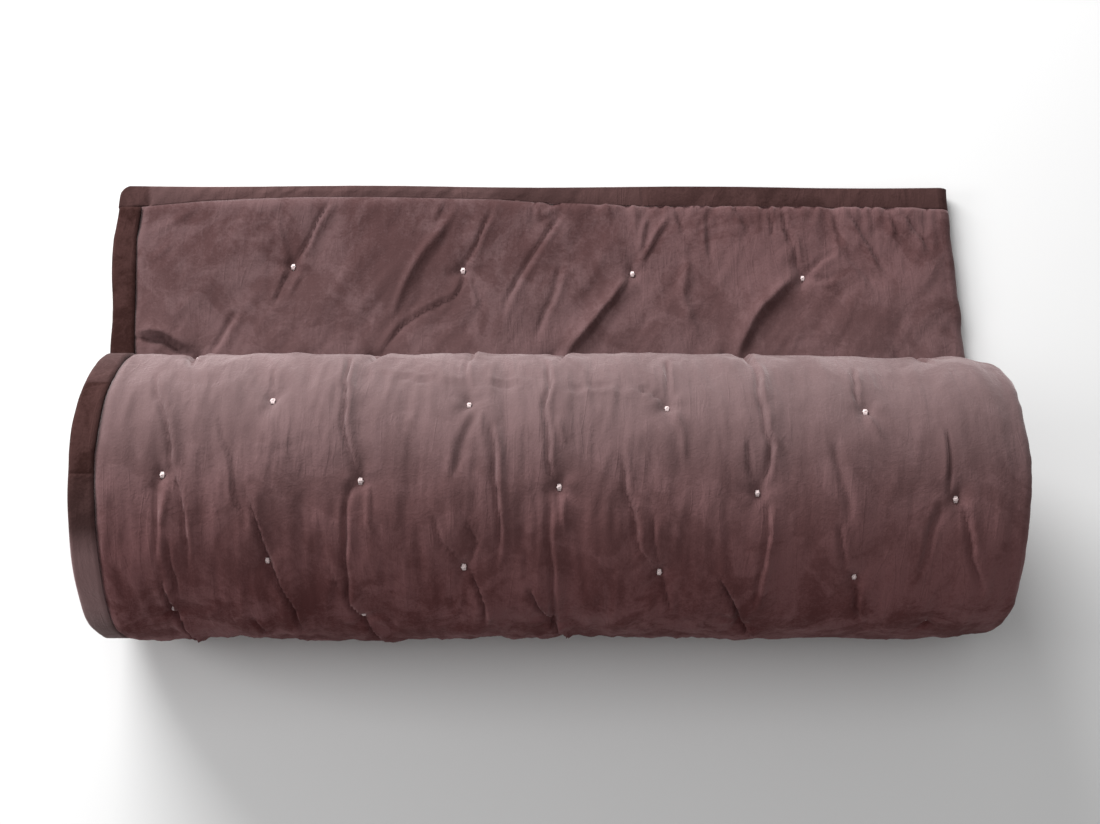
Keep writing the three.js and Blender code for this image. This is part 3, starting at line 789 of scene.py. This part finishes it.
def end_band_skin(cut_edge, direction, step):
    """A band across an end, over both layers and round the fold, its cut edge rounded."""
    skin = Skin()
    rings = []
    round_edge = BAND_ROUNDING * (1 - np.cos(np.linspace(0, math.pi / 2, 5)))
    for distance in [*round_edge, 8, 12, 16, 20, 23, BINDING_WIDTH]:
        share = rounded(distance, BAND_ROUNDING)
        inset = CORNER_RADIUS * (1 - rounded(distance, CORNER_RADIUS))
        thin = (LAYER - blend(BAND_EDGE_THICKNESS, BINDING_THICKNESS, share)) / 2
        columns = columns_between(inset, FOLD_START, step)
        s = cut_edge + direction * distance
        outer = strip_at(columns, s, thin if share < 1 else 0)
        top = strip_at(columns, s, DOUBLED - thin)
        if direction > 0:
            drop = BAND_TOP_DROP + BAND_SEAM_DROP * (distance / BINDING_WIDTH) ** 3
            groove = join_groove(cloth_x(columns, s), FAR_JOINS)
            swell = END_PUCKERS * pucker_along(columns + 0.6 * distance, 8.5) - groove
            top[:, 2] = DOUBLED - np.maximum(thin, drop - share * swell)
        rings.append(skin.add_ring(doubled_ring(s, inset, outer, top)))
    if direction < 0:
        rings.reverse()
    skin.join(rings)
    skin.cap_doubled(rings[0], True)
    skin.cap_doubled(rings[-1], False)
    return skin


def stretch_far_band(cloth):
    """Bends the far band between its slightly crooked cut edge and the wandering seam."""
    x = cloth_x(cloth[:, 0], cloth[:, 1])
    seam = interpolate(FAR_SEAM, 1, x)
    share = smooth_step(0, BINDING_WIDTH, cloth[:, 1])
    crooked = CROOKED_BY * cloth[:, 0] / WIDTH
    crooked += CROOKED_WAVE * np.sin(cloth[:, 0] / CROOKED_WAVE_LENGTH)
    cloth[:, 1] += (seam - BINDING_WIDTH) * share + crooked * (1 - share)


def make_far_binding():
    skin = end_band_skin(0.0, 1, FAR_COLUMN_STEP)
    cloth = np.concatenate(skin.cloth)
    for strip in skin.cloth:
        stretch_far_band(strip)
    piece = skin.make("far_end_binding")
    # Painted sheen: pale on lengths whose nap runs the other way
    give_values(piece, "painted_light", interpolate(FAR_PAINTED_SHEEN, 1, cloth_x(cloth[:, 0], cloth[:, 1])))
    return piece


# Knots of thread

THREAD_RADIUS, THREAD_SIDES = 0.8, 7
STITCH_SPACING, STITCH_HALF_LENGTH, CROSS_HALF_LENGTH = 1.9, 3.9, 2.9
STITCH_FOOT, STITCH_ARCH = 1.0, 2.1
CROSS_FOOT, CROSS_ARCH = 1.8, 2.2
KNOT_LIFT = 0.6
KNOT_SIZE, KNOT_SIZE_VARIES = 0.74, 0.08


def tube(path, radius, sides):
    """Points and faces of a round thread along a path, closed at both ends."""
    path = np.array(path, float)
    points, faces = [], []
    for i, centre in enumerate(path):
        along = Vector(path[min(i + 1, len(path) - 1)] - path[max(i - 1, 0)]).normalized()
        across = along.orthogonal().normalized()
        other = along.cross(across)
        for k in range(sides):
            angle = FULL_TURN * k / sides
            spoke = math.cos(angle) * across + math.sin(angle) * other
            points.append(Vector(centre) + radius * spoke)
    for i in range(len(path) - 1):
        for k in range(sides):
            a, b = i * sides + k, i * sides + (k + 1) % sides
            faces.append([a, b, b + sides, a + sides])
    last = (len(path) - 1) * sides
    faces.append(list(range(sides))[::-1])
    faces.append(list(range(last, last + sides)))
    return points, faces


def knot_paths(turn, size):
    """Three arched stitches side by side and one across them, in millimetres."""
    paths = []
    steps = np.linspace(-1, 1, 9)
    for lane in (-1, 0, 1):
        arch = STITCH_FOOT + STITCH_ARCH * (1 - steps ** 2)
        across = STITCH_SPACING * lane * (1 - 0.35 * np.abs(steps)) + 0.3 * turn
        paths.append(np.stack([across, STITCH_HALF_LENGTH * steps, arch], axis=1) * size)
    arch = CROSS_FOOT + CROSS_ARCH * (1 - steps ** 2)
    tilted = 0.5 + 0.8 * turn * steps
    paths.append(np.stack([CROSS_HALF_LENGTH * steps, tilted, arch], axis=1) * size)
    return paths


def make_knots(depths):
    points, faces = [], []
    for index, tuft in enumerate(TUFTS):
        sign = 1 if tuft["side"] == "top" else -1
        base_n = (DOUBLED if sign > 0 else 0) + sign * (depths[index] + KNOT_LIFT)
        spot = np.array([[tuft["u"], tuft["s"], base_n]])
        origin = Vector(place(spot)[0])
        outward = Vector(place(spot + [[0, 0, sign]])[0]) - origin
        outward.normalize()
        across = Vector((1, 0, 0))
        along = outward.cross(across)
        turn = math.sin(index * 2.4)
        size = KNOT_SIZE + KNOT_SIZE_VARIES * math.sin(index * 1.7)
        for path in knot_paths(turn, size):
            world = [
                origin + MM * (x * across + y * along + z * outward) for x, y, z in path.tolist()
            ]
            tube_points, tube_faces = tube(world, THREAD_RADIUS * MM, THREAD_SIDES)
            start = len(points)
            points.extend(tube_points)
            faces.extend([[i + start for i in face] for face in tube_faces])
    return make_piece("tuft_threads", np.array([p[:] for p in points]), faces)


def tuft_depths():
    """The relief right at each tuft, where its knot lies.

    Low on the right, two knots sink out of sight in their folds. The row just beyond the horizon
    lies deeper, too.
    """
    depths = []
    for tuft in TUFTS:
        relief = tail_relief if tuft["side"] == "top" else roll_relief
        depth = float(relief(np.array([[tuft["u"]]]), np.array([[tuft["s"]]]))[0, 0])
        if tuft["x"] > SUNK_FROM_X and SUNK_FROM_S < tuft["s"] < SUNK_TO_S:
            depth -= SUNK_BY
        if HORIZON_FROM_S < tuft["s"] < HORIZON_TO_S:
            depth -= HORIZON_SUNK_BY
        depths.append(depth)
    return depths


# Materials

# What the velvet's colour is multiplied by where its painted shade warmth is 0 and 1: the warm tint is a
# painted, redder shade
NO_TINT, PAINTED_SHADE_TINT = (1, 1, 1, 1), (1.2, 0.99, 0.99, 1)
# How much stronger the painted sheen is where the painted light is 0 and 1
PAINTED_SHEEN_LOW, PAINTED_SHEEN_HIGH = 0.2, 1.7
BUMP_STRENGTH, BUMP_HEIGHT = 0.8, 0.002
STREAK_STRETCH = 1, 0.16, 0


class Graph:
    """A new material's nodes. Methods that add a node give back what comes out of it."""

    def __init__(self, name):
        self.material = bpy.data.materials.new(name)
        self.material.use_nodes = True
        self.nodes, self.links = self.material.node_tree.nodes, self.material.node_tree.links
        self.shader = self.nodes["Principled BSDF"]

    def set(self, name, value):
        self.shader.inputs[name].default_value = value

    def feed(self, value, name):
        self.links.new(value, self.shader.inputs[name])

    def attribute(self, name, output="Fac"):
        node = self.nodes.new("ShaderNodeAttribute")
        node.attribute_name = name
        return node.outputs[output]

    def stretched(self, vector, scale):
        node = self.nodes.new("ShaderNodeMapping")
        node.inputs["Scale"].default_value = scale
        self.links.new(vector, node.inputs["Vector"])
        return node.outputs["Vector"]

    def noise(self, vector, scale, detail, roughness, distortion=0.0):
        node = self.nodes.new("ShaderNodeTexNoise")
        node.inputs["Scale"].default_value = scale
        node.inputs["Detail"].default_value = detail
        node.inputs["Roughness"].default_value = roughness
        node.inputs["Distortion"].default_value = distortion
        self.links.new(vector, node.inputs["Vector"])
        return node.outputs["Fac"]

    def mix(self, first, second, share):
        node = self.nodes.new("ShaderNodeMix")
        node.inputs[0].default_value = share
        self.links.new(first, node.inputs[2])
        self.links.new(second, node.inputs[3])
        return node.outputs[0]

    def mix_colours(self, first, second, share, how="MIX"):
        """Each colour, and the share of the second, is a plain value or comes from a node."""
        node = self.nodes.new("ShaderNodeMix")
        node.data_type = "RGBA"
        node.blend_type = how
        node.clamp_factor = False
        for entry, value in ((0, share), (6, first), (7, second)):
            if isinstance(value, bpy.types.NodeSocket):
                self.links.new(value, node.inputs[entry])
            else:
                node.inputs[entry].default_value = value
        return node.outputs[2]

    def multiply(self, first, second):
        node = self.nodes.new("ShaderNodeMath")
        node.operation = "MULTIPLY"
        self.links.new(first, node.inputs[0])
        self.links.new(second, node.inputs[1])
        return node.outputs["Value"]

    def remap(self, value, low, high, to_low=0.0, to_high=1.0, kind="LINEAR"):
        node = self.nodes.new("ShaderNodeMapRange")
        node.interpolation_type = kind
        node.inputs["From Min"].default_value = low
        node.inputs["From Max"].default_value = high
        node.inputs["To Min"].default_value = to_low
        node.inputs["To Max"].default_value = to_high
        self.links.new(value, node.inputs["Value"])
        return node.outputs["Result"]

    def step(self, value, low, high):
        """A smooth step from 0 at low to 1 at high."""
        return self.remap(value, low, high, kind="SMOOTHSTEP")

    def ramp(self, value, low, low_colour, high, high_colour):
        node = self.nodes.new("ShaderNodeValToRGB")
        ends = node.color_ramp.elements
        ends[0].position, ends[1].position = low, high
        ends[0].color, ends[1].color = (*low_colour, 1), (*high_colour, 1)
        self.links.new(value, node.inputs["Fac"])
        return node.outputs["Color"]

    def bump(self, height):
        node = self.nodes.new("ShaderNodeBump")
        node.inputs["Strength"].default_value = BUMP_STRENGTH
        node.inputs["Distance"].default_value = BUMP_HEIGHT
        self.links.new(height, node.inputs["Height"])
        return node.outputs["Normal"]


def velvet(name, dark, light, painted_light_colour, sheen, streaks):
    """Cut pile: patches of brushed nap, streaks along the cloth, fine grain and a pale sheen.

    The third colour is painted where the painted light is 1: the lit top of the roll, and the pale painted
    sheen of a binding length whose nap runs the other way. Where the painted light is high the sheen is
    painted stronger too, and the painted shade warmth makes the base colour redder.
    """
    graph = Graph(name)
    graph.set("Roughness", 0.95)
    graph.set("Specular IOR Level", 0.03)
    graph.set("Sheen Roughness", 0.42)
    graph.set("Sheen Tint", (1.0, 0.87, 0.87, 1))
    cloth = graph.attribute("cloth", "Vector")
    painted_light, painted_shade_warmth = graph.attribute("painted_light"), graph.attribute("painted_shade_warmth")
    along = graph.stretched(cloth, STREAK_STRETCH)
    patches = graph.noise(cloth, scale=15, detail=5, roughness=0.58, distortion=0.9)
    brushed = graph.noise(cloth, scale=48, detail=4, roughness=0.62, distortion=2.6)
    grain = graph.noise(cloth, scale=420, detail=2, roughness=0.6, distortion=0.5)
    streak = graph.noise(along, scale=110, detail=3, roughness=0.55, distortion=0.4)
    nap = graph.mix(patches, brushed, 0.35)
    nap = graph.mix(nap, graph.step(patches, 0.46, 0.54), 0.08)
    nap = graph.mix(nap, streak, streaks)
    nap = graph.mix(nap, grain, 0.2)
    pile = graph.ramp(nap, 0.42, dark, 0.58, light)
    # Painted light: the pile turns to the third, paler colour where the painted light is high
    colour = graph.mix_colours(pile, (*painted_light_colour, 1), painted_light)
    # Painted shade: the colour is multiplied by a redder tint where the painted shade warmth is high
    painted_shade_tint = graph.mix_colours(NO_TINT, PAINTED_SHADE_TINT, painted_shade_warmth)
    graph.feed(graph.mix_colours(colour, painted_shade_tint, 1, "MULTIPLY"), "Base Color")
    frost = graph.remap(nap, 0.36, 0.64, 0.5 * sheen, 1.35 * sheen)
    # Painted sheen: stronger where the painted light is high
    painted_sheen = graph.remap(painted_light, 0, 1, PAINTED_SHEEN_LOW, PAINTED_SHEEN_HIGH)
    graph.feed(graph.multiply(frost, painted_sheen), "Sheen Weight")
    rough = graph.mix(brushed, streak, 0.55)
    rough = graph.mix(rough, grain, 0.24)
    rough = graph.mix(rough, crinkles(graph, along, patches), 0.14)
    graph.feed(graph.bump(rough), "Normal")
    return graph.material


def crinkles(graph, vector, patches):
    """Fine ridges where a noise crosses its middle value, in some patches only."""
    lines = graph.noise(vector, scale=62, detail=2, roughness=0.5, distortion=0.6)
    ridges = graph.multiply(graph.step(lines, 0.44, 0.5), graph.step(lines, 0.56, 0.5))
    return graph.multiply(ridges, graph.step(patches, 0.44, 0.6))


def thread():
    graph = Graph("thread")
    graph.set("Roughness", 0.75)
    where = graph.nodes.new("ShaderNodeTexCoord").outputs["Object"]
    strands = graph.noise(where, scale=1400, detail=2, roughness=0.5)
    graph.feed(graph.ramp(strands, 0, (0.62, 0.46, 0.46), 1, (0.95, 0.84, 0.83)), "Base Color")
    return graph.material


def plain(name, colour):
    graph = Graph(name)
    graph.set("Base Color", (*colour, 1))
    graph.set("Roughness", 0.9)
    return graph.material


# The studio

CAMERA_ELEVATION = math.radians(74)
CAMERA_DISTANCE = 2.1
CAMERA_FOCAL_PIXELS = 2100.6
PHOTO_WIDTH = 1100
SENSOR_WIDTH = 36
AIM_BEHIND, AIM_HEIGHT = 0.079, 0.130
AIM = Vector((SHIFT_X * MM, AIM_BEHIND + SHIFT_Y * MM, AIM_HEIGHT))
FLOOR_HALF = 4.0


def add_camera():
    camera = bpy.data.objects.new("camera", bpy.data.cameras.new("camera"))
    camera.data.sensor_width = SENSOR_WIDTH
    camera.data.lens = SENSOR_WIDTH * CAMERA_FOCAL_PIXELS / PHOTO_WIDTH
    back = Vector((0, -math.cos(CAMERA_ELEVATION), math.sin(CAMERA_ELEVATION)))
    camera.location = AIM + CAMERA_DISTANCE * back
    camera.rotation_euler = (math.pi / 2 - CAMERA_ELEVATION, 0, 0)
    bpy.context.scene.collection.objects.link(camera)
    bpy.context.scene.camera = camera


def add_area_light(name, location, size, power):
    light = bpy.data.lights.new(name, "AREA")
    light.shape = "RECTANGLE"
    light.size, light.size_y = size
    light.energy = power
    lamp = bpy.data.objects.new(name, light)
    lamp.location = location
    lamp.rotation_euler = (AIM - Vector(location)).to_track_quat("-Z", "Y").to_euler()
    bpy.context.scene.collection.objects.link(lamp)


def add_studio():
    add_area_light("key_behind_left", (-1.2, 2.3, 1.5), (2.2, 1.5), power=145)
    add_area_light("side_left", (-2.3, -0.1, 1.2), (0.8, 0.8), power=18)
    add_area_light("fill_above", (-0.4, 0.0, 3.2), (2.4, 2.4), power=22)
    world = bpy.data.worlds.new("studio")
    world.use_nodes = True
    background = world.node_tree.nodes["Background"]
    background.inputs["Color"].default_value = (1, 1, 1, 1)
    background.inputs["Strength"].default_value = 0.3
    bpy.context.scene.world = world
    bpy.context.scene.view_settings.view_transform = "Standard"
    signs = np.array([(-1, -1, 0), (1, -1, 0), (1, 1, 0), (-1, 1, 0)])
    floor = make_piece("floor", FLOOR_HALF * signs, [[0, 1, 2, 3]])
    floor.data.materials.append(plain("floor", (0.8, 0.8, 0.8)))


def dress(piece, material, slot, *nodes):
    piece.data.materials.clear()
    piece.data.materials.append(material)
    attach(piece, "root")
    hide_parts(*nodes)


add_camera()
# The third colour is the painted light on the roll's lit top
mauve = velvet(
    "velvet", dark=(0.070, 0.0238, 0.0236), light=(0.128, 0.061, 0.0625),
    painted_light_colour=(0.160, 0.106, 0.107), sheen=0.36, streaks=0.15,
)
# The third colour is the pale painted sheen on binding lengths whose nap runs the other way
brown = velvet(
    "binding", dark=(0.030, 0.0125, 0.011), light=(0.056, 0.026, 0.024),
    painted_light_colour=(0.225, 0.135, 0.135), sheen=0.26, streaks=0.1,
)
quilt = make_quilt()
dress(quilt, mauve, "velvet", "quilt")
side_under = make_side_binding("side_binding_under", low=0.0, seed=1.5)
dress(side_under, brown, "binding", "binding_side_under")
side_over = make_side_binding("side_binding_over", low=UPPER_SLOT, seed=2.5)
dress(side_over, brown, "binding", "binding_side_over")
far_band = make_far_binding()
dress(far_band, brown, "binding", "binding_far_end")
core_band = end_band_skin(ROUTE_END, -1, CORE_COLUMN_STEP).make("core_end_binding")
dress(core_band, brown, "binding", "binding_core_end")
knot_nodes = sorted(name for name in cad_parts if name.startswith("knot_"))
knots = make_knots(tuft_depths())
dress(knots, thread(), "thread", *knot_nodes)
add_studio()
